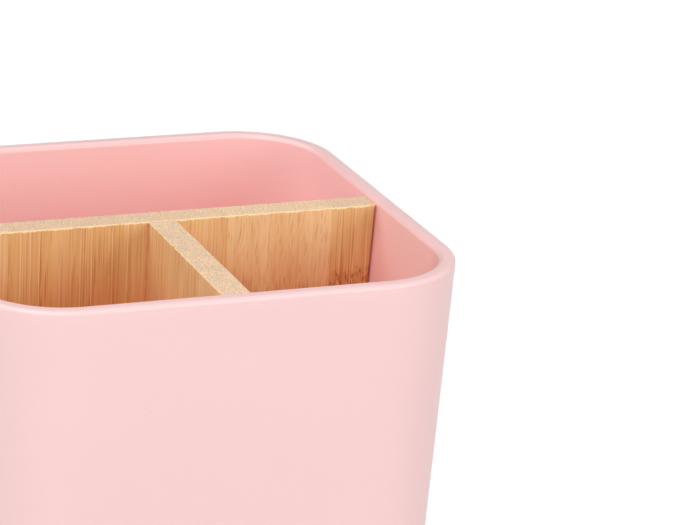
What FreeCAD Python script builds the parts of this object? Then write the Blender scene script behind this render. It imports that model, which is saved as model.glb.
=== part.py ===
"""Square pen holder cup with a lift-out divider made of two bamboo boards.

Frame: millimetres, +Z up, +X to the right along the front, +Y to the back. The origin is
at the middle of the footprint, on the surface that the cup stands on.

The cup is one moulded plastic shell. It is square with rounded corners, and its walls lean
outwards by the same draft from the base to the rim. Four pads under the base carry it.
The divider is a T seen from above. A long board runs across the middle, and a cross board
runs from it to the front wall, glued on over two hidden dowels. The divider stands on the
cup's floor, its free ends follow the lean of the walls, and it lifts straight out.
"""

import FreeCAD
import Part

import math
import os

# Cup, outside
RIM_WIDTH = 90.0  # of the outer walls where they meet the rim, the same along X and Y
HEIGHT = 100.0  # from the surface to the rim, pads included
DRAFT_DEG = 2.3  # lean of each wall from the vertical
RIM_CORNER_R = 17.6  # corner radius seen from above, at the rim
WALL = 3.0  # measured level, the same at all heights
FLOOR = 3.0

# Cup, edges
RIM_OUTER_R = 0.8
RIM_INNER_R = 1.0
BASE_R = 3.0  # round from the walls to the underside
FLOOR_R = 4.0  # round from the walls to the floor, inside

# Cup, underside
GATE_DISH_R = 9.0
GATE_DISH_DEPTH = 0.5
GATE_NUB_R = 1.5
GATE_NUB_HEIGHT = 0.3

# Pads under the base
PAD_R = 5.0
PAD_THICK = 1.8
PAD_PROUD = 0.8  # how far a pad stands out of its socket
PAD_EDGE_R = 0.35
PAD_OFFSET = 27.0  # of a pad's middle from the cup's, along X and along Y
SOCKET_GAP = 0.2  # round each pad in its socket

# Divider
BOARD = 5.2  # thickness of both boards
BOARD_BELOW_RIM = 0.6
END_GAP = 0.3  # between a board's free end and the wall
FOOT_CLIP = 4.4  # clipped off the foot of each free end, clear of the floor's round
END_EDGE_R = 0.8  # round of the upright edges of a free end
TOP_EDGE_R = 0.3  # round of a board's top edges

# Dowels between the boards
DOWEL_R = 1.5
DOWEL_LENGTH = 12.0
DOWEL_IN_LONG_BOARD = 3.0
DOWEL_HEIGHTS = (28.0, 76.0)
DOWEL_GLUE_GAP = 0.05  # all round, filled by the glue

# Worked out from the sizes above
LEAN = math.tan(math.radians(DRAFT_DEG))
RIM_HALF = RIM_WIDTH / 2
CORNER_CENTRE = RIM_HALF - RIM_CORNER_R  # of every corner, at all heights, along X and Y
UNDERSIDE_Z = PAD_PROUD
FLOOR_Z = UNDERSIDE_Z + FLOOR
BOARD_TOP_Z = HEIGHT - BOARD_BELOW_RIM
HALF_BOARD = BOARD / 2
DOWEL_BACK_Y = DOWEL_IN_LONG_BOARD - HALF_BOARD

UP = FreeCAD.Vector(0, 0, 1)
BACKWARDS = FreeCAD.Vector(0, 1, 0)
NEAR = 1e-4


def vector(x, y, z):
    return FreeCAD.Vector(x, y, z)


def outer_half(z):
    """Half the width outside the cup's walls at height z."""
    return RIM_HALF - (HEIGHT - z) * LEAN


def inner_half(z):
    """Half the width inside the cup's walls at height z."""
    return outer_half(z) - WALL


def board_reach(z):
    """How far a board's free end is from the cup's middle at height z."""
    return inner_half(z) - END_GAP


# Shapes that several pieces use

def rounded_square(half, z):
    """A level wire round a square whose corners are struck from the cup's corner centres."""
    radius = half - CORNER_CENTRE
    on_diagonal = CORNER_CENTRE + radius * math.sqrt(0.5)
    side = Part.LineSegment(vector(half, -CORNER_CENTRE, z), vector(half, CORNER_CENTRE, z))
    corner = Part.Arc(
        vector(half, CORNER_CENTRE, z),
        vector(on_diagonal, on_diagonal, z),
        vector(CORNER_CENTRE, half, z),
    )
    edges = []
    for turn in (0, 90, 180, 270):
        for curve in (side, corner):
            edge = curve.toShape()
            edge.rotate(vector(0, 0, 0), UP, turn)
            edges.append(edge)
    return Part.Wire(edges)


def tapered_block(inset, bottom_z, top_z):
    """The solid that lies inset from the cup's outer walls, between two heights."""
    loops = [rounded_square(outer_half(z) - inset, z) for z in (bottom_z, top_z)]
    return Part.makeLoft(loops, True, True)


def level_edges(shape, z):
    """The edges of a shape that lie level at height z."""
    return [e for e in shape.Edges
            if abs(e.BoundBox.ZMin - z) < NEAR and abs(e.BoundBox.ZMax - z) < NEAR]


def farthest(edge):
    """How far an edge is from the middle plane, along X or Y, whichever is more."""
    box = edge.BoundBox
    return max(-box.XMin, box.XMax, -box.YMin, box.YMax)


def disc(radius, height, x, y, z):
    return Part.makeCylinder(radius, height, vector(x, y, z), UP)


# The cup

def pad_places():
    """Each pad's name and the middle of it, seen from above."""
    for row, y in (("front", -PAD_OFFSET), ("back", PAD_OFFSET)):
        for side, x in (("left", -PAD_OFFSET), ("right", PAD_OFFSET)):
            yield f"foot_pad_{row}_{side}", x, y


def hollow_block():
    """The cup before its rim is rounded, with the rounds at its base and its floor."""
    outside = tapered_block(0, UNDERSIDE_Z, HEIGHT)
    outside = outside.makeFillet(BASE_R, level_edges(outside, UNDERSIDE_Z))
    inside = tapered_block(WALL, FLOOR_Z, HEIGHT)
    inside = inside.makeFillet(FLOOR_R, level_edges(inside, FLOOR_Z))
    return outside.cut(inside)


def round_the_rim(shell):
    for radius, half in ((RIM_OUTER_R, RIM_HALF), (RIM_INNER_R, RIM_HALF - WALL)):
        ring = [e for e in level_edges(shell, HEIGHT) if abs(farthest(e) - half) < NEAR]
        shell = shell.makeFillet(radius, ring)
    return shell


def cut_pad_sockets(shell):
    for _name, x, y in pad_places():
        shell = shell.cut(disc(PAD_R + SOCKET_GAP, PAD_THICK - PAD_PROUD, x, y, UNDERSIDE_Z))
    return shell


def add_gate_mark(shell):
    """The shallow dish under the base with the nub that moulding leaves in it."""
    shell = shell.cut(disc(GATE_DISH_R, GATE_DISH_DEPTH, 0, 0, UNDERSIDE_Z))
    nub_z = UNDERSIDE_Z + GATE_DISH_DEPTH - GATE_NUB_HEIGHT
    return shell.fuse(disc(GATE_NUB_R, GATE_NUB_HEIGHT, 0, 0, nub_z))


def cup_shell():
    shell = round_the_rim(hollow_block())
    shell = cut_pad_sockets(shell)
    return add_gate_mark(shell).removeSplitter()


def foot_pad(x, y):
    pad = disc(PAD_R, PAD_THICK, x, y, 0)
    return pad.makeFillet(PAD_EDGE_R, level_edges(pad, 0))


# The divider

def free_end():
    """A board's free end as points (distance from the middle, height), from the foot up."""
    clip_z = FLOOR_Z + FOOT_CLIP
    return [
        (board_reach(FLOOR_Z) - FOOT_CLIP, FLOOR_Z),
        (board_reach(clip_z), clip_z),
        (board_reach(BOARD_TOP_Z), BOARD_TOP_Z),
    ]


def extruded(corners, thickness):
    face = Part.Face(Part.makePolygon(corners + corners[:1]))
    return face.extrude(thickness)


def round_free_ends(board):
    """Rounds the long upright edges that lie near the cup's walls."""
    edges = [e for e in board.Edges
             if e.BoundBox.ZLength > HEIGHT / 2 and farthest(e) > RIM_HALF / 2]
    return board.makeFillet(END_EDGE_R, edges)


def drill_for_dowels(board):
    """Cuts the blind holes that the dowels are glued into."""
    depth = DOWEL_LENGTH + 2 * DOWEL_GLUE_GAP
    start_y = DOWEL_BACK_Y + DOWEL_GLUE_GAP - depth
    for z in DOWEL_HEIGHTS:
        hole = Part.makeCylinder(DOWEL_R + DOWEL_GLUE_GAP, depth, vector(0, start_y, z), BACKWARDS)
        board = board.cut(hole)
    return board


def long_board():
    """The board across the cup. Both its ends are free."""
    right = free_end()
    outline = right + [(-along, z) for along, z in reversed(right)]
    board = extruded([vector(x, -HALF_BOARD, z) for x, z in outline], vector(0, BOARD, 0))
    board = round_free_ends(board)
    board = board.makeFillet(TOP_EDGE_R, level_edges(board, BOARD_TOP_Z))
    return drill_for_dowels(board)


def cross_board():
    """The board from the long board's front face to the front wall. Its front end is free."""
    outline = free_end() + [(HALF_BOARD, BOARD_TOP_Z), (HALF_BOARD, FLOOR_Z)]
    board = extruded([vector(-HALF_BOARD, -y, z) for y, z in outline], vector(BOARD, 0, 0))
    board = round_free_ends(board)
    in_joint = -HALF_BOARD - NEAR
    top = [e for e in level_edges(board, BOARD_TOP_Z) if e.BoundBox.YMin < in_joint]
    return drill_for_dowels(board.makeFillet(TOP_EDGE_R, top))


def divider_dowels():
    """Both dowels, as separate solids of one group."""
    front_y = DOWEL_BACK_Y - DOWEL_LENGTH
    return Part.makeCompound([
        Part.makeCylinder(DOWEL_R, DOWEL_LENGTH, vector(0, front_y, z), BACKWARDS)
        for z in DOWEL_HEIGHTS
    ])


def main():
    os.makedirs("parts", exist_ok=True)
    pieces = {
        "cup_shell": cup_shell(),
        "long_board": long_board(),
        "cross_board": cross_board(),
        "divider_dowels": divider_dowels(),
    }
    pieces.update((name, foot_pad(x, y)) for name, x, y in pad_places())
    for name, piece in pieces.items():
        piece.exportStep(f"parts/{name}.step")
        state = "valid" if piece.isValid() else "NOT VALID"
        print(f"{name}: {state}, solids {len(piece.Solids)}, {piece.Volume:.0f} mm3")


main()
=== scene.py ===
import math

import bmesh
import bpy
from mathutils import Matrix, Vector, noise


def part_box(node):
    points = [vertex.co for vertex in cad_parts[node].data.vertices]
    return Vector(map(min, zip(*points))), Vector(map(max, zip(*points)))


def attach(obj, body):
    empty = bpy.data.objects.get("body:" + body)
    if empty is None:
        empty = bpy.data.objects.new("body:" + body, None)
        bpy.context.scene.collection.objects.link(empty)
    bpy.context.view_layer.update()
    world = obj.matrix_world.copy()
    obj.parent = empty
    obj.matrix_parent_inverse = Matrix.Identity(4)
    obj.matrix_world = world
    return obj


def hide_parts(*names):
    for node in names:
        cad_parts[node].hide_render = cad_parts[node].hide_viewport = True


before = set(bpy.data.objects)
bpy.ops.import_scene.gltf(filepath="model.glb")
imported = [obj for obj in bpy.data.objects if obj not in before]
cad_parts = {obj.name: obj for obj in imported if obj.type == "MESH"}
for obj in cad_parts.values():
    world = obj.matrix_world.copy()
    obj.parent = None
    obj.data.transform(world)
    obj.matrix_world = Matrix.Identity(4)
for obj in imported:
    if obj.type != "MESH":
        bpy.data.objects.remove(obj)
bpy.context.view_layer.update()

MM = 0.001

# The cup's edges and walls, in metres
DRAFT = math.radians(2.3)
WALL = 3.0 * MM
RIM_CORNER_R = 17.6 * MM
RIM_OUTER_R = 0.8 * MM
RIM_INNER_R = 1.0 * MM
BASE_R = 3.0 * MM
FLOOR_R = 4.0 * MM

# Under the cup
SOCKET_R = 5.2 * MM
SOCKET_LIP = 0.2 * MM
DISH_R = 9.0 * MM
DISH_DEPTH = 0.5 * MM
NUB_R = 1.5 * MM
NUB_HEIGHT = 0.3 * MM

# The pads under the cup
PAD_EDGE_R = 0.35 * MM
GROOVE = 0.12 * MM  # the depth of the rings in a pad's sole, and half their width at the bottom
GROOVE_RADII = (3.9 * MM, 2.6 * MM, 1.3 * MM)

# The divider
END_EDGE_R = 0.8 * MM
TOP_EDGE_R = 0.3 * MM
FOOT_CLIP = 4.4 * MM
END_GAP = 0.3 * MM
RELIEF_DEPTH = 0.035 * MM  # between the fibres of a board
LEAST_WEAR, MORE_WEAR = 0.10, 0.16  # of a board's top edges, in mm
CHIP_FROM = 0.24  # where a noise is above this, an edge is chipped
DOWEL_BEVEL = 0.4 * MM
FLUTES, FLUTE_DEPTH = 12, 0.09 * MM

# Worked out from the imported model. The rim's round keeps the cup's box just inside RIM_HALF.
CUP_LOW, CUP_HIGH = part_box("cup_shell")
LONG_LOW, LONG_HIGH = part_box("long_board")
RIM_Z = CUP_HIGH.z
UNDERSIDE_Z = CUP_LOW.z
FLOOR_Z = LONG_LOW.z
RIM_HALF = CUP_HIGH.x + RIM_OUTER_R * (math.tan(DRAFT) + 1 / math.cos(DRAFT) - 1)
CORNER_CENTRE = RIM_HALF - RIM_CORNER_R
BOARD_TOP = LONG_HIGH.z / MM  # in mm, like everything in the materials
PADS = [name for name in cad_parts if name.startswith("foot_pad")]


def outer_half(z):
    """Half the width outside the cup's walls at height z."""
    return RIM_HALF - (RIM_Z - z) * math.tan(DRAFT)


def inner_half(z):
    """Half the width inside the cup's walls at height z."""
    return outer_half(z) - WALL


def board_reach(z):
    """How far a board's free end is from the cup's middle at height z."""
    clip = max(0.0, FLOOR_Z + FOOT_CLIP - z)
    return inner_half(max(z, FLOOR_Z + FOOT_CLIP)) - END_GAP - clip


# Meshes

def rounded_profile(corners, steps):
    """A smooth line through corners, each (x, z, radius), with an arc at each inner one."""
    line = [Vector(corners[0][:2])]
    for before, corner, after in zip(corners, corners[1:], corners[2:]):
        here, radius = Vector(corner[:2]), corner[2]
        back = (Vector(before[:2]) - here).normalized()
        ahead = (Vector(after[:2]) - here).normalized()
        half_angle = back.angle(ahead) / 2
        centre = here + (back + ahead).normalized() * radius / math.sin(half_angle)
        start = here + back * radius / math.tan(half_angle) - centre
        end = here + ahead * radius / math.tan(half_angle) - centre
        sweep = math.atan2(start.x * end.y - start.y * end.x, start.dot(end))
        for step in range(steps + 1):
            turn = Matrix.Rotation(sweep * step / steps, 2)
            line.append(centre + turn @ start)
    line.append(Vector(corners[-1][:2]))
    return line


def divided(line, longest):
    """The same line with its long runs divided into equal pieces."""
    points = [line[0]]
    for start, end in zip(line, line[1:]):
        count = max(1, math.ceil((end - start).length / longest))
        points += [start.lerp(end, step / count) for step in range(1, count + 1)]
    return points


def square_ring(half, z, corner_steps=20, side_steps=14):
    """Points round the cup's rounded square, turning left from the right front corner."""
    points = []
    for turn in range(4):
        spin = Matrix.Rotation(math.pi / 2 * turn, 3, "Z")
        for step in range(corner_steps):
            angle = math.pi / 2 * (step / corner_steps - 1)
            radius = half - CORNER_CENTRE
            points.append(spin @ Vector((
                CORNER_CENTRE + radius * math.cos(angle),
                -CORNER_CENTRE + radius * math.sin(angle), z)))
        for step in range(side_steps):
            y = CORNER_CENTRE * (2 * step / side_steps - 1)
            points.append(spin @ Vector((half, y, z)))
    return points


def circle_ring(centre, radius, z, steps=64):
    return [Vector((centre.x + radius * math.cos(math.tau * step / steps),
                    centre.y + radius * math.sin(math.tau * step / steps), z))
            for step in range(steps)]


def add_rings(bm, rings):
    """Rows of points joined by quads. Returns the rows of vertices."""
    rows = [[bm.verts.new(point) for point in ring] for ring in rings]
    for row, above in zip(rows, rows[1:]):
        for i in range(len(row)):
            j = (i + 1) % len(row)
            bm.faces.new((row[i], row[j], above[j], above[i]))
    return rows


def close_flat(bm, row, rings=10):
    """Closes a row of vertices with smaller and smaller copies of it, down to its middle."""
    middle = sum((v.co for v in row), Vector()) / len(row)
    shrunk = [[middle.lerp(v.co, 1 - k / rings) for v in row] for k in range(1, rings)]
    rows = [row] + add_rings(bm, shrunk)
    for i in range(len(row)):
        j = (i + 1) % len(row)
        bm.faces.new((row[i], row[j], rows[1][j], rows[1][i]))
    tip = bm.verts.new(middle)
    for i in range(len(row)):
        bm.faces.new((rows[-1][i], rows[-1][(i + 1) % len(row)], tip))


def add_piece(bm, name, material, body, replaced):
    """Adds the mesh as a piece that rides on a body and stands for CAD nodes."""
    bmesh.ops.recalc_face_normals(bm, faces=bm.faces)
    mesh = bpy.data.meshes.new(name)
    bm.to_mesh(mesh)
    bm.free()
    mesh.shade_smooth()
    mesh.materials.append(material)
    piece = bpy.data.objects.new(name, mesh)
    bpy.context.scene.collection.objects.link(piece)
    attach(piece, body)
    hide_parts(*replaced)


def edges_of(row):
    """The edges between neighbours in a closed row of vertices."""
    pairs = zip(row, row[1:] + row[:1])
    return [next(e for e in a.link_edges if e.other_vert(a) is b) for a, b in pairs]


def cup_profile():
    """Half of the cup's section, from its underside over the rim to its floor."""
    return rounded_profile([
        (outer_half(UNDERSIDE_Z) - 2 * BASE_R, UNDERSIDE_Z, 0),
        (outer_half(UNDERSIDE_Z), UNDERSIDE_Z, BASE_R),
        (RIM_HALF, RIM_Z, RIM_OUTER_R),
        (RIM_HALF - WALL, RIM_Z, RIM_INNER_R),
        (inner_half(FLOOR_Z), FLOOR_Z, FLOOR_R),
        (inner_half(FLOOR_Z) - 1.5 * FLOOR_R, FLOOR_Z, 0),
    ], steps=10)


def add_recess(bm, centre, corners):
    """A round recess with these corners, each (radius, z, round). Returns its outer edges."""
    profile = rounded_profile(corners, steps=4)
    rows = add_rings(bm, [circle_ring(centre, p.x, p.y) for p in profile])
    close_flat(bm, rows[-1], rings=3)
    return edges_of(rows[0])


def add_socket(bm, pad):
    """The recess that a pad sits in."""
    low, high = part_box(pad)
    return add_recess(bm, (low + high) / 2, [
        (SOCKET_R + 2 * SOCKET_LIP, UNDERSIDE_Z, 0),
        (SOCKET_R, UNDERSIDE_Z, SOCKET_LIP),
        (SOCKET_R, high.z, SOCKET_LIP / 2),
        (SOCKET_R - 2 * SOCKET_LIP, high.z, 0),
    ])


def add_gate_dish(bm):
    """The shallow dish in the middle, with the nub that moulding leaves in it."""
    dish_z = UNDERSIDE_Z + DISH_DEPTH
    return add_recess(bm, Vector(), [
        (DISH_R + 2 * SOCKET_LIP, UNDERSIDE_Z, 0),
        (DISH_R, UNDERSIDE_Z, SOCKET_LIP),
        (DISH_R, dish_z, SOCKET_LIP),
        (NUB_R, dish_z, SOCKET_LIP / 2),
        (NUB_R, dish_z - NUB_HEIGHT, SOCKET_LIP / 2),
        (NUB_R / 2, dish_z - NUB_HEIGHT, 0),
    ])


def build_cup(material):
    bm = bmesh.new()
    rows = add_rings(bm, [square_ring(p.x, p.y) for p in divided(cup_profile(), 3 * MM)])
    close_flat(bm, rows[-1])
    rims = edges_of(rows[0])
    for pad in PADS:
        rims += add_socket(bm, pad)
    rims += add_gate_dish(bm)
    bmesh.ops.triangle_fill(bm, use_beauty=True, edges=rims, normal=(0, 0, -1))
    add_piece(bm, "cup", material, "cup", ["cup_shell"])


def pad_profile(radius, low_z, high_z):
    """Half of a pad's section, from its top round its edge and over the rings of its sole."""
    corners = [
        (radius - 1 * MM, high_z, 0),
        (radius, high_z, PAD_EDGE_R / 2),
        (radius, low_z, PAD_EDGE_R),
    ]
    for ring in GROOVE_RADII:
        corners += [
            (ring + 2 * GROOVE, low_z, GROOVE / 2),
            (ring + GROOVE, low_z + GROOVE, GROOVE / 2),
            (ring - GROOVE, low_z + GROOVE, GROOVE / 2),
            (ring - 2 * GROOVE, low_z, GROOVE / 2),
        ]
    corners.append((0.5 * MM, low_z, 0))
    return rounded_profile(corners, steps=4)


def build_pad(node, material):
    low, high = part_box(node)
    centre = (low + high) / 2
    profile = pad_profile((high.x - low.x) / 2, low.z, high.z)
    bm = bmesh.new()
    rows = add_rings(bm, [circle_ring(centre, p.x, p.y) for p in profile])
    close_flat(bm, rows[0], rings=4)
    close_flat(bm, rows[-1], rings=2)
    name = node.replace("foot_pad", "rubber_pad")
    add_piece(bm, name, material, "cup", [node])


def lattice_shell(counts, place):
    """The outside of a block of cells, where place(i, j, k) gives each corner's position."""
    bm = bmesh.new()
    made = {}

    def vert(key):
        if key not in made:
            made[key] = bm.verts.new(place(*key))
        return made[key]

    for axis in range(3):
        across, up = (axis + 1) % 3, (axis + 2) % 3
        for side in (0, counts[axis]):
            for a in range(counts[across]):
                for b in range(counts[up]):
                    face = []
                    for da, db in ((0, 0), (1, 0), (1, 1), (0, 1)):
                        key = [0, 0, 0]
                        key[axis], key[across], key[up] = side, a + da, b + db
                        face.append(vert(tuple(key)))
                    bm.faces.new(face)
    return bm


# How many cells a board's mesh has along it, through it and up it, and how many of those are in
# each of its rounded ends, its rounded top and its clipped foot
COLUMNS, LAYERS, ROWS = 300, 8, 46
END_STEPS, TOP_STEPS, FOOT_STEPS = 5, 4, 4


def fibre_noise(along, z, width, length, seed):
    """A noise whose bumps are about this wide and this long, from -1 to 1."""
    return noise.noise(Vector((along / width, z / length, seed)))


def fibre_relief(along, z, seed):
    """How deep a board's surface is sunk between its fibres, from 0 to 1."""
    fine = fibre_noise(along, z, 0.33 * MM, 18 * MM, seed)
    broad = fibre_noise(along, z, 1.9 * MM, 60 * MM, seed + 7)
    return min(1.0, max(0.0, 0.5 + 0.6 * fine + 0.5 * broad))


def edge_chip(along, seed):
    """How far a board's top edge is worn or chipped at this place, in metres."""
    wear = 0.5 + 0.5 * noise.noise(Vector((along / (0.7 * MM), seed, 0)))
    chip = noise.noise(Vector((along / (1.3 * MM), seed, 5))) - CHIP_FROM
    return (LEAST_WEAR + MORE_WEAR * wear + max(0.0, chip)) * MM


def section_column(step, near_end, far_end, half_thick, round_near):
    """(along, half thickness) of one column of a board's level section.

    The far end always has rounded edges, and the near end has them if round_near says so.
    """
    near_r = END_EDGE_R if round_near else 0.0
    first, last = near_end + near_r, far_end - END_EDGE_R
    if step < END_STEPS:
        angle = math.pi / 2 * step / END_STEPS
        return first - near_r * math.cos(angle), half_thick - near_r * (1 - math.sin(angle))
    if step > COLUMNS - END_STEPS:
        angle = math.pi / 2 * (COLUMNS - step) / END_STEPS
        return (last + END_EDGE_R * math.cos(angle),
                half_thick - END_EDGE_R * (1 - math.sin(angle)))
    part = (step - END_STEPS) / (COLUMNS - 2 * END_STEPS)
    return first + (last - first) * part, half_thick


def board_heights(low, high):
    """The heights of a board's rows below its top round, closer together at the foot."""
    start = low + FOOT_CLIP
    rest = ROWS - TOP_STEPS - FOOT_STEPS
    foot = [low + FOOT_CLIP * k / FOOT_STEPS for k in range(FOOT_STEPS)]
    return foot + [start + (high - TOP_EDGE_R - start) * k / rest for k in range(rest + 1)]


def build_board(name, node, to_row, near_end, round_near, seed, material):
    """One board, from near_end, or from its other free end if that is None.

    to_row turns (along, across, up) into the row frame.
    """
    low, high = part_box(node)
    half_thick = min(high.x - low.x, high.y - low.y) / 2
    heights = board_heights(low.z, high.z)

    def place(i, j, k):
        """The corner of the cells that is i along, j through and k up the board."""
        side = 2 * j / LAYERS - 1
        top_row = k - (ROWS - TOP_STEPS)
        z = heights[min(k, ROWS - TOP_STEPS)]
        far_end = board_reach(z)
        start = -far_end if near_end is None else near_end
        along, thick = section_column(i, start, far_end, half_thick, round_near)
        if top_row >= 0:
            worn = edge_chip(along, seed + (side > 0))
            angle = math.pi / 2 * top_row / TOP_STEPS
            inset = worn * (1 - math.cos(angle))
            z = high.z - worn * (1 - math.sin(angle))
            thick -= inset
            along = max(start + inset, min(far_end - inset, along))
        across = side * thick
        if abs(side) == 1:
            across -= side * RELIEF_DEPTH * fibre_relief(along, z, seed + side)
        return to_row(along, across, z)

    bm = lattice_shell((COLUMNS, LAYERS, ROWS), place)
    add_piece(bm, name, material, "divider", [node])


def dowel_ring(y, z, radius):
    """Points round a dowel's fluted section."""
    ring = []
    for step in range(8 * FLUTES):
        angle = math.tau * step / (8 * FLUTES)
        reach = radius - FLUTE_DEPTH * (0.5 + 0.5 * math.cos(FLUTES * angle)) ** 3
        ring.append(Vector((reach * math.cos(angle), y, z + reach * math.sin(angle))))
    return ring


def build_dowels(material):
    """Both dowels, with pressed flutes and bevelled ends."""
    low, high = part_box("divider_dowels")
    radius = (high.x - low.x) / 2
    sections = [
        (low.y, radius - DOWEL_BEVEL),
        (low.y + DOWEL_BEVEL, radius),
        ((low.y + high.y) / 2, radius),
        (high.y - DOWEL_BEVEL, radius),
        (high.y, radius - DOWEL_BEVEL),
    ]
    bm = bmesh.new()
    for z in (low.z + radius, high.z - radius):
        rows = add_rings(bm, [dowel_ring(y, z, r) for y, r in sections])
        close_flat(bm, rows[0], rings=3)
        close_flat(bm, rows[-1], rings=3)
    add_piece(bm, "fluted_dowels", material, "divider", ["divider_dowels"])


# Materials

def linear(red, green, blue):
    """A linear colour from 0 to 255 screen values."""
    def channel(value):
        value /= 255
        return value / 12.92 if value <= 0.04045 else ((value + 0.055) / 1.055) ** 2.4
    return channel(red), channel(green), channel(blue), 1.0


class Graph:
    """A material's nodes, made by short calls that return output sockets."""

    def __init__(self, name, **surface):
        self.material = bpy.data.materials.new(name)
        self.material.use_nodes = True
        self.tree = self.material.node_tree
        self.surface = self.tree.nodes["Principled BSDF"]
        for socket, value in surface.items():
            self.surface.inputs[socket.replace("_", " ")].default_value = value

    def node(self, kind, inputs=(), **settings):
        made = self.tree.nodes.new(kind)
        for key, value in settings.items():
            setattr(made, key, value)
        for key, value in dict(inputs).items():
            self.feed(made.inputs[key], value)
        return made

    def feed(self, socket, value):
        if isinstance(value, bpy.types.NodeSocket):
            self.tree.links.new(value, socket)
        else:
            socket.default_value = value

    def set(self, socket, value):
        self.feed(self.surface.inputs[socket], value)

    def math(self, operation, a, b=0.0, c=0.0, clamp=False):
        node = self.node("ShaderNodeMath", operation=operation, use_clamp=clamp)
        for socket, value in zip(node.inputs, (a, b, c)):
            self.feed(socket, value)
        return node.outputs[0]

    def times(self, a, b):
        return self.math("MULTIPLY", a, b)

    def scaled(self, value, factor, plus, clamp=False):
        """value times factor, plus another."""
        return self.math("MULTIPLY_ADD", value, factor, plus, clamp)

    def most(self, a, b):
        return self.math("MAXIMUM", a, b)

    def vector(self, operation, a, b=(0, 0, 0)):
        node = self.node("ShaderNodeVectorMath", operation=operation)
        self.feed(node.inputs[0], a)
        self.feed(node.inputs[1], b)
        return node.outputs["Value" if operation == "LENGTH" else "Vector"]

    def mix(self, factor, a, b, blend="MIX"):
        node = self.node("ShaderNodeMix", data_type="RGBA", blend_type=blend)
        for key, value in ((0, factor), (6, a), (7, b)):
            self.feed(node.inputs[key], value)
        return node.outputs[2]

    def stain(self, colour, share, by):
        """The colour multiplied by another where share is 1."""
        return self.mix(share, colour, by, "MULTIPLY")

    def steps(self, value, low, high, to_low=0.0, to_high=1.0, smooth=True):
        """value carried from the range low..high to to_low..to_high, and held there."""
        kind = "SMOOTHSTEP" if smooth else "LINEAR"
        node = self.node("ShaderNodeMapRange", interpolation_type=kind)
        for socket, number in zip(node.inputs, (value, low, high, to_low, to_high)):
            self.feed(socket, number)
        return node.outputs[0]

    def place(self):
        """Object coordinates in millimetres."""
        coordinates = self.node("ShaderNodeTexCoord").outputs["Object"]
        return self.vector("MULTIPLY", coordinates, (1 / MM, 1 / MM, 1 / MM))

    def normal(self):
        return self.split(self.node("ShaderNodeNewGeometry").outputs["Normal"])

    def split(self, vector):
        return self.node("ShaderNodeSeparateXYZ", {"Vector": vector}).outputs

    def join(self, x, y, z):
        return self.node("ShaderNodeCombineXYZ", {"X": x, "Y": y, "Z": z}).outputs[0]

    def noise(self, vector, scale=1.0, detail=2.0, roughness=0.5):
        node = self.node("ShaderNodeTexNoise", {
            "Vector": vector, "Scale": scale, "Detail": detail, "Roughness": roughness})
        return node.outputs["Fac"]

    def cells(self, vector, scale=1.0, randomness=1.0, dimensions="3D"):
        """Voronoi cells as (distance from the cell's middle, the cell's random colour)."""
        inputs = {"Vector": vector, "Scale": scale, "Randomness": randomness}
        node = self.node("ShaderNodeTexVoronoi", inputs, voronoi_dimensions=dimensions)
        return node.outputs["Distance"], node.outputs["Color"]

    def streaks(self, across, up, spacing, pitch_up, seed, keep=1.0, width=0.24):
        """Upright streaks with tapered ends, one in each cell of spacing by pitch_up millimetres.

        keep is the share of the cells whose streak shows, each at a strength of its own.
        """
        place = self.join(self.scaled(across, 1 / spacing, seed),
                          self.scaled(up, 1 / pitch_up, seed), 0)
        distance, colour = self.cells(place, dimensions="2D")
        chance = self.split(colour)[0]
        strength = self.steps(chance, 1 - keep, 1, 0.25, 1, smooth=False)
        shown = self.math("GREATER_THAN", chance, 1 - keep)
        streak = self.times(self.steps(distance, width, 0.3 * width), strength)
        return self.times(streak, shown)

    def bands(self, value, stops):
        """The colour of the last stop, each (position, colour), that value has reached."""
        node = self.node("ShaderNodeValToRGB", {"Fac": value})
        node.color_ramp.interpolation = "CONSTANT"
        elements = node.color_ramp.elements
        while len(elements) < len(stops):
            elements.new(0.5)
        for element, (position, colour) in zip(elements, stops):
            element.position = position
            element.color = colour
        return node.outputs["Color"]

    def bump(self, height, distance, strength=1.0):
        node = self.node("ShaderNodeBump", {
            "Height": height, "Distance": distance, "Strength": strength})
        self.set("Normal", node.outputs["Normal"])


def inside_walls(g, place):
    """1 on the cup's inner walls and floor and 0 outside, for a place in millimetres."""
    folded = g.vector("ABSOLUTE", place)
    beyond = g.vector("SUBTRACT", folded, (CORNER_CENTRE / MM, CORNER_CENTRE / MM, 2 * RIM_Z / MM))
    reach = g.vector("LENGTH", g.vector("MAXIMUM", beyond, (0, 0, 0)))
    depth = g.math("SUBTRACT", RIM_Z / MM, g.split(place)[2])
    level = g.scaled(depth, math.tan(DRAFT), reach)
    wall = WALL / MM
    return g.steps(level, RIM_CORNER_R / MM - 0.80 * wall, RIM_CORNER_R / MM - 0.98 * wall)


INSIDE_PAINTED_LIGHT_DEPTH = 18  # how far below its rim the cup's inside is painted paler, a painted light strongest at the rim, in mm


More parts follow.
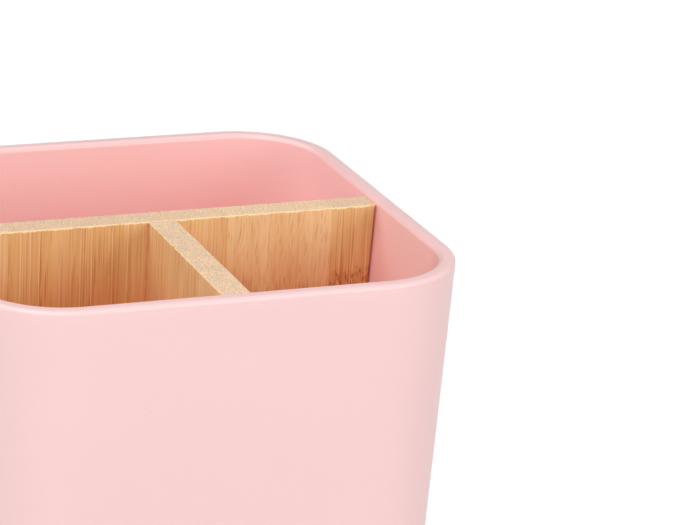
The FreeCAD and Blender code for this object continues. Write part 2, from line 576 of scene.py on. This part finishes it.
def pink_plastic():
    """Satin moulded plastic with a fine texture, faint upright draw marks and a few tiny specks,
    and painted light inside: a deeper pink there, painted paler towards the rim.
    """
    g = Graph("pink_plastic", Subsurface_Weight=0.05, Subsurface_Scale=1.5 * MM,
              Subsurface_Radius=(1.0, 0.45, 0.42))
    place = g.place()
    cloud = g.noise(place, 0.03, 2, 0.5)
    outside = g.mix(cloud, linear(247, 210, 209), linear(246, 207, 206))
    # The inside is painted light: a deeper pink than the outside for the glow of light bounced
    # between the walls and through them, painted paler towards the rim where more light comes in.
    height = g.steps(g.split(place)[2], RIM_Z / MM - INSIDE_PAINTED_LIGHT_DEPTH, RIM_Z / MM)
    inside = g.mix(height, linear(255, 198, 197), linear(255, 206, 204))
    colour = g.mix(inside_walls(g, place), outside, inside)
    specks = g.times(g.steps(g.cells(place, 0.12)[0], 0.022, 0.010), 0.35)
    g.set("Base Color", g.mix(specks, colour, linear(214, 150, 146)))
    draw = g.noise(g.vector("MULTIPLY", place, (1.6, 1.6, 0.02)), 1, 3)
    grit = g.noise(place, 3.0, 3, 0.6)
    sheen = g.scaled(draw, 0.3, g.noise(place, 0.05, 2, 0.5))
    g.set("Roughness", g.steps(sheen, 0.45, 0.85, 0.28, 0.38))
    g.bump(g.scaled(draw, 0.8, grit), 0.012 * MM, 0.35)
    return g.material


# The bamboo boards, in mm
BOARD_SPAN = 90  # the length that the strips share out
STRIP_SCALE = 100  # what a node's height is divided by, to be kept in a colour
SEAM_HALF = 0.07  # half the width of a glue line
PAINTED_SHADE_START, PAINTED_SHADE_FULL = -4.5, 17.5  # below the top, where the painted shade starts and is full
PAINTED_SHADE_FADE_START, PAINTED_SHADE_FADE_HALF = 28, 75  # below the top, where the painted shade starts to weaken again and is half left


def strip_stops(strips):
    """Stops that carry each strip's figure, tone and node height along a board."""
    return [((start + BOARD_SPAN / 2) / BOARD_SPAN, (figure, tone, node / STRIP_SCALE, 1))
            for start, figure, tone, node in strips]


class Bamboo(Graph):
    """The features of a board made of strips, each (start, figure, tone, node height), in mm.

    figure is 0 for straight lines and 1 for short wavy dashes, tone is 0 for dark and 1 for pale,
    and pitch is how close the lines are. A feature is 1 where it is strongest and 0 where it
    isn't.
    """

    def __init__(self, name, along_axis, seed, pitch, strips):
        super().__init__(name, Specular_IOR_Level=0.3)
        self.seed, self.pitch, self.strips = seed, pitch, strips
        x, y, self.z = self.split(self.place())
        self.along, self.across = (x, y) if along_axis == "x" else (self.times(y, -1), x)
        position = self.steps(self.along, -BOARD_SPAN / 2, BOARD_SPAN / 2, smooth=False)
        bands = self.bands(position, strip_stops(strips))
        self.figure, strip_tone, self.node_height = self.split(bands)
        self.bent = self.bent_along()
        patches = self.steps(self.grain(0.35, 0.012), 0.3, 0.7, -0.5, 0.5)
        self.tone = self.scaled(patches, 0.35, strip_tone, clamp=True)

    def mottle(self, per_mm, up_per_mm, seed, detail):
        """A noise over the board's faces, with its own scale along them and up them."""
        place = self.join(self.times(self.along, per_mm), seed, self.times(self.z, up_per_mm))
        return self.noise(place, 1, detail)

    def bent_along(self):
        """The place along the board, bent as the fibres drift and ripple."""
        drift = self.mottle(0.15, 0.035, self.seed, 1)
        ripple = self.mottle(0.6, 0.16, self.seed + 5, 2)
        bent = self.scaled(drift, 0.45, self.along)
        return self.scaled(self.times(ripple, self.figure), 1.2, bent)

    def grain(self, per_mm, up_per_mm, shift=0.0):
        """A noise drawn out along the fibres."""
        return self.noise(self.join(
            self.scaled(self.bent, per_mm, shift * per_mm),
            self.scaled(self.across, per_mm, self.seed),
            self.times(self.z, up_per_mm)), 1, 2)

    def painted_shade_below_top(self):
        """Painted shade: a deeper colour a little below the top, for the dimmer light and pink
        bounce inside the cup, which weakens again lower down.
        """
        ragged_shade_z = self.scaled(self.grain(0.4, 0.05), 13, self.z)
        deep = self.steps(ragged_shade_z, BOARD_TOP - PAINTED_SHADE_FULL, BOARD_TOP - PAINTED_SHADE_START, 1, 0)
        left = self.steps(self.z, BOARD_TOP - PAINTED_SHADE_FADE_HALF, BOARD_TOP - PAINTED_SHADE_FADE_START, 0.5, 1)
        return self.times(deep, left)

    def lines(self):
        """The pale fibres beside the long vessels, and the vessels with the threads and pores."""
        strength = self.steps(self.grain(0.8, 0.05), 0.35, 0.65, 0.3, 1)
        straight = self.times(self.scaled(self.figure, -0.85, 1), strength)
        vessels = self.steps(self.grain(2.2 * self.pitch, 0.010), 0.55, 0.62)
        beside = self.steps(self.grain(2.2 * self.pitch, 0.010, 0.24), 0.55, 0.62)
        threads = self.times(self.steps(self.grain(4.0 * self.pitch, 0.02), 0.52, 0.66), 0.45)
        pores = self.most(
            self.streaks(self.bent, self.z, 1.0 / self.pitch, 22, self.seed, 0.7),
            self.streaks(self.bent, self.z, 0.55 / self.pitch, 14, self.seed + 3, 0.6))
        pale = self.math("SUBTRACT", beside, vessels, clamp=True)
        dark = self.most(self.times(vessels, 0.7), self.most(threads, pores))
        return self.times(pale, straight), self.times(dark, straight)

    def dashes(self, deep):
        """Short dashes where a strip was cut flat, darker where the shade is painted deep."""
        lean = self.scaled(self.z, -0.04, self.bent)
        dashes = self.most(
            self.streaks(lean, self.z, 0.75, 11, self.seed + 8, 0.8, 0.2),
            self.streaks(lean, self.z, 0.5, 6, self.seed + 12, 0.7, 0.24))
        return self.times(self.times(dashes, self.figure), self.scaled(deep, 0.5, 0.5))

    def node_marks(self):
        """The band of a strip's node, and the short dark marks in it."""
        rise = self.scaled(self.node_height, -STRIP_SCALE, self.z)
        rise = self.scaled(self.mottle(0.4, 0, self.seed, 3), 5, rise)
        thin = self.steps(self.mottle(0.7, 0.5, self.seed, 2), 0.25, 0.45, 0.4, 1)
        band = self.times(self.steps(rise, 4.8, 3.2), self.steps(rise, -3.2, 0.8))
        band = self.times(band, thin)
        marks = self.most(
            self.streaks(self.along, self.z, 0.7, 2.0, self.seed + 21, 1.0, 0.4),
            self.streaks(self.along, self.z, 0.5, 1.4, self.seed + 24, 0.8, 0.38))
        return band, self.times(marks, band)

    def seams(self):
        """The glue lines between the strips."""
        seams = 0.0
        for start, *_ in self.strips[1:]:
            seams = self.most(seams, self.math("COMPARE", self.along, start, SEAM_HALF))
        return seams

    def seeped_glue(self, glued_from):
        """Glue along the joint of the two boards, on the side where across is under glued_from."""
        beyond_joint = self.math("SUBTRACT", self.math("ABSOLUTE", self.along), LONG_HIGH.y / MM)
        from_joint = self.math("ABSOLUTE", beyond_joint)
        seep = self.mottle(1, 0.5, self.seed, 2)
        glue = self.steps(self.scaled(seep, 0.5, from_joint), 0.6, 0.3)
        return self.times(glue, self.math("LESS_THAN", self.across, glued_from))

    def worn_and_glinting_edges(self):
        """The crushed fibres along the top edges, painted paler and brighter as a painted highlight
        where the edges catch the light.
        """
        place = self.join(self.times(self.along, 0.9), self.across, self.seed)
        fray = self.noise(place, 1, 4, 0.62)
        return self.steps(self.scaled(fray, 1.1, self.z), BOARD_TOP + 0.25, BOARD_TOP + 0.36)

    def end_grain(self, end_shade):
        """The colour of the sawn top, speckled by bundles of fibres."""
        slant = self.join(
            self.scaled(self.across, 0.55, self.along),
            self.scaled(self.along, -0.3, self.across), self.seed)
        bundles = self.steps(self.cells(slant, 2.1, 0.5)[0], 0.46, 0.22)
        patches = self.noise(self.join(self.along, self.across, self.seed + 2), 0.5, 2)
        tone = self.math("ADD", self.scaled(patches, 0.5, self.tone), -end_shade, clamp=True)
        colour = self.mix(tone, linear(228, 197, 169), linear(246, 213, 178))
        return self.mix(self.times(bundles, 0.6), colour, linear(172, 138, 104))


def bamboo(name, along_axis, seed, pitch, strips, glued_from, end_shade):
    """A board's bamboo. end_shade is how much darker its end grain is than its strips' tone."""
    g = Bamboo(name, along_axis, seed, pitch, strips)
    deep = g.painted_shade_below_top()
    pale_lines, dark_lines = g.lines()
    dashes = g.dashes(deep)
    node_band, node_marks = g.node_marks()
    fine = g.grain(5.0, 0.06)

    colour = g.mix(g.tone, linear(228, 180, 116), linear(244, 210, 157))
    # Painted shade: the faces deeper and redder below the top, where the cup's walls shade them and
    # bounce pink light onto them.
    colour = g.stain(colour, deep, (0.87, 0.54, 0.43, 1))
    colour = g.mix(g.times(pale_lines, 0.5), colour, linear(255, 226, 176))
    colour = g.stain(colour, dark_lines, (0.74, 0.47, 0.31, 1))
    colour = g.stain(colour, dashes, (0.74, 0.44, 0.28, 1))
    colour = g.stain(colour, g.steps(fine, 0.35, 0.7, 0, 0.5), (0.88, 0.76, 0.68, 1))
    colour = g.stain(colour, g.times(node_band, 0.5), (0.88, 0.74, 0.66, 1))
    colour = g.stain(colour, node_marks, (0.60, 0.36, 0.27, 1))
    colour = g.stain(colour, g.times(g.seams(), 0.35), (0.62, 0.45, 0.32, 1))
    colour = g.stain(colour, g.times(g.seeped_glue(glued_from), 0.6), (0.68, 0.46, 0.34, 1))
    # Top edges: pale crushed fibres, and a painted highlight where the edges catch the light.
    colour = g.mix(g.times(g.worn_and_glinting_edges(), 0.9), colour, linear(255, 228, 172))
    level = g.steps(g.math("ABSOLUTE", g.normal()[2]), 0.8, 0.93)
    g.set("Base Color", g.mix(level, colour, g.end_grain(end_shade)))

    g.set("Roughness", g.steps(fine, 0.3, 0.7, 0.62, 0.48))
    g.bump(g.scaled(g.most(dark_lines, dashes), -0.8, fine), 0.06 * MM, 0.6)
    return g.material


def dowel_bamboo():
    """Turned bamboo, with its fibres along the dowel and dark bundles on its ends."""
    g = Graph("dowel_bamboo", Specular_IOR_Level=0.3)
    place = g.place()
    x, _y, z = g.split(place)
    fibres = g.noise(g.vector("MULTIPLY", place, (3.5, 0.12, 3.5)), 1, 3)
    colour = g.mix(g.steps(fibres, 0.3, 0.7), linear(236, 194, 136), linear(206, 156, 100))
    bundles = g.steps(g.cells(g.join(x, 0, z), 2.2, 0.8)[0], 0.4, 0.2)
    at_ends = g.steps(g.math("ABSOLUTE", g.normal()[1]), 0.8, 0.95)
    dark = g.times(g.times(bundles, 0.5), at_ends)
    g.set("Base Color", g.mix(dark, colour, linear(150, 112, 76)))
    g.set("Roughness", g.steps(fibres, 0.3, 0.7, 0.5, 0.65))
    g.bump(fibres, 0.04 * MM, 0.5)
    return g.material


def pad_rubber():
    """Pale matt rubber with a fine speckle."""
    g = Graph("pad_rubber", Roughness=0.7)
    place = g.place()
    speck = g.noise(place, 3.0, 4, 0.7)
    g.set("Base Color", g.mix(speck, linear(222, 218, 212), linear(235, 232, 228)))
    g.set("Roughness", g.steps(speck, 0.3, 0.7, 0.6, 0.8))
    g.bump(speck, 0.03 * MM, 0.5)
    return g.material


# The studio

FLOOR_HALF = 6.0
FLOOR_ALBEDO = 0.8
FLOOR_WHITE = 1.05  # the floor's brightness, just over full white
FLOOR_BOUNCE = 0.6  # the part of it that also lights the cup
WASH_SPREAD = math.radians(70)


def floor_paper():
    """White paper, hardly mottled."""
    g = Graph("floor_paper", Roughness=0.9)
    low, high = (FLOOR_ALBEDO,) * 3 + (1,), (FLOOR_ALBEDO + 0.02,) * 3 + (1,)
    g.set("Base Color", g.mix(g.noise(g.place(), 0.004, 2), low, high))
    return g.material


def aim(thing, target):
    thing.rotation_euler = (Vector(target) - thing.location).to_track_quat("-Z", "Y").to_euler()


def light_group(name, floor, state):
    """A collection that tells a light to shine on the floor only, or on all but the floor."""
    group = bpy.data.collections.new(name)
    group.objects.link(floor)
    group.collection_objects[0].light_linking.link_state = state
    return group


def add_softbox(name, location, width, height, power, group):
    """A soft light aimed at the cup's mouth."""
    light = bpy.data.lights.new(name, "AREA")
    light.shape = "RECTANGLE"
    light.size, light.size_y = width, height
    light.energy = power
    box = bpy.data.objects.new(name, light)
    bpy.context.scene.collection.objects.link(box)
    box.location = location
    aim(box, (0, 0, RIM_Z))
    box.light_linking.receiver_collection = group
    return box


def build_floor():
    bm = bmesh.new()
    bmesh.ops.create_grid(bm, x_segments=8, y_segments=8, size=FLOOR_HALF)
    mesh = bpy.data.meshes.new("floor")
    bm.to_mesh(mesh)
    bm.free()
    mesh.materials.append(floor_paper())
    floor = bpy.data.objects.new("floor", mesh)
    bpy.context.scene.collection.objects.link(floor)
    return floor


def add_wash(name, share, group):
    """Soft light from straight above that gives the floor this share of a full white."""
    light = bpy.data.lights.new(name, "SUN")
    light.energy = share * math.pi / FLOOR_ALBEDO
    light.angle = WASH_SPREAD
    wash = bpy.data.objects.new(name, light)
    bpy.context.scene.collection.objects.link(wash)
    wash.light_linking.receiver_collection = group
    return light


def build_studio():
    """A white paper floor, evenly lit from above, and softboxes for the cup."""
    world = bpy.data.worlds.new("studio")
    bpy.context.scene.world = world
    world.use_nodes = True
    world.node_tree.nodes["Background"].inputs["Color"].default_value = (1, 1, 1, 1)
    world.cycles_visibility.diffuse = False
    world.cycles_visibility.glossy = False
    floor = build_floor()
    on_floor = light_group("floor_only", floor, "INCLUDE")
    add_wash("floor_wash", FLOOR_BOUNCE, on_floor)
    backdrop = add_wash("backdrop_wash", FLOOR_WHITE - FLOOR_BOUNCE, on_floor)
    backdrop.cycles.max_bounces = 0
    cup_only = light_group("all_but_floor", floor, "EXCLUDE")
    add_softbox("front_right_softbox", (0.75, -1.2, 0.6), 1.0, 0.8, 9.4, cup_only)
    add_softbox("front_left_softbox", (-0.75, -1.2, 0.6), 1.0, 0.8, 2, cup_only)
    add_softbox("high_left_softbox", (-0.6, -0.6, 1.2), 1.0, 1.0, 15.2, cup_only)
    add_softbox("left_softbox", (-1.3, 0, 0.7), 1.0, 0.8, 1, cup_only)
    add_softbox("right_softbox", (1.3, 0, 0.7), 1.0, 0.8, 3, cup_only)
    add_softbox("back_left_softbox", (-0.9, 0.6, 1.15), 1.0, 1.0, 7.5, cup_only)
    behind = add_softbox("back_right_softbox", (1.0, 1.1, 0.5), 1.0, 0.8, 10.5, cup_only)
    behind.visible_glossy = False


# The camera is in front of the cup, to its left and above it, and rolled a little
CAMERA_AZIMUTH = math.radians(-23.30)
CAMERA_ELEVATION = math.radians(19.48)
CAMERA_ROLL = math.radians(3.476)
CAMERA_TARGET = Vector((0.02415, -0.03254, RIM_Z))
CAMERA_DISTANCE = 0.5444
SENSOR_WIDTH, LENS = 36.0, 161.0  # in mm


def add_camera():
    back = Vector((
        math.sin(CAMERA_AZIMUTH) * math.cos(CAMERA_ELEVATION),
        -math.cos(CAMERA_AZIMUTH) * math.cos(CAMERA_ELEVATION),
        math.sin(CAMERA_ELEVATION)))
    right = Vector((math.cos(CAMERA_AZIMUTH), math.sin(CAMERA_AZIMUTH), 0))
    axes = Matrix((right, back.cross(right), back)).transposed().to_4x4()
    place = Matrix.Translation(CAMERA_TARGET + back * CAMERA_DISTANCE)
    data = bpy.data.cameras.new("camera")
    data.sensor_width = SENSOR_WIDTH
    data.lens = LENS
    data.clip_start = 0.01
    camera = bpy.data.objects.new("camera", data)
    bpy.context.scene.collection.objects.link(camera)
    camera.matrix_world = place @ axes @ Matrix.Rotation(CAMERA_ROLL, 4, "Z")
    bpy.context.scene.camera = camera


# The whole scene

def long_to_row(along, across, up):
    return Vector((along, across, up))


def cross_to_row(along, across, up):
    return Vector((across, -along, up))


add_camera()
build_studio()
bpy.context.scene.view_settings.view_transform = "Standard"
bpy.context.scene.cycles.diffuse_bounces = 10
build_cup(pink_plastic())
rubber = pad_rubber()
for pad_node in PADS:
    build_pad(pad_node, rubber)
# Each board's strips, as Bamboo takes them. Only the last strip of the long board has a node.
long_strips = [
    (-45, 0.1, 0.4, 0),
    (-28.5, 0.0, 0.2, 0),
    (-8, 0.25, 0.42, 0),
    (12.4, 1.0, 0.74, 0),
    (33, 0.15, 0.27, 85.5),
]
cross_strips = [(-45, 0.0, 0.6, 0), (9, 0.1, 0.5, 0), (29.5, 0.6, 0.68, 0)]
long_bamboo = bamboo("long_bamboo", "x", 3.0, 1.0, long_strips, LONG_LOW.y / MM + 0.5, 0.0)
cross_bamboo = bamboo("cross_bamboo", "y", 11.0, 0.8, cross_strips, LONG_HIGH.y / MM + 0.5, 0.15)
build_board("long_bamboo_board", "long_board", long_to_row, None, True, 3.0, long_bamboo)
build_board(
    "cross_bamboo_board", "cross_board", cross_to_row, LONG_HIGH.y, False, 11.0, cross_bamboo)
build_dowels(dowel_bamboo())
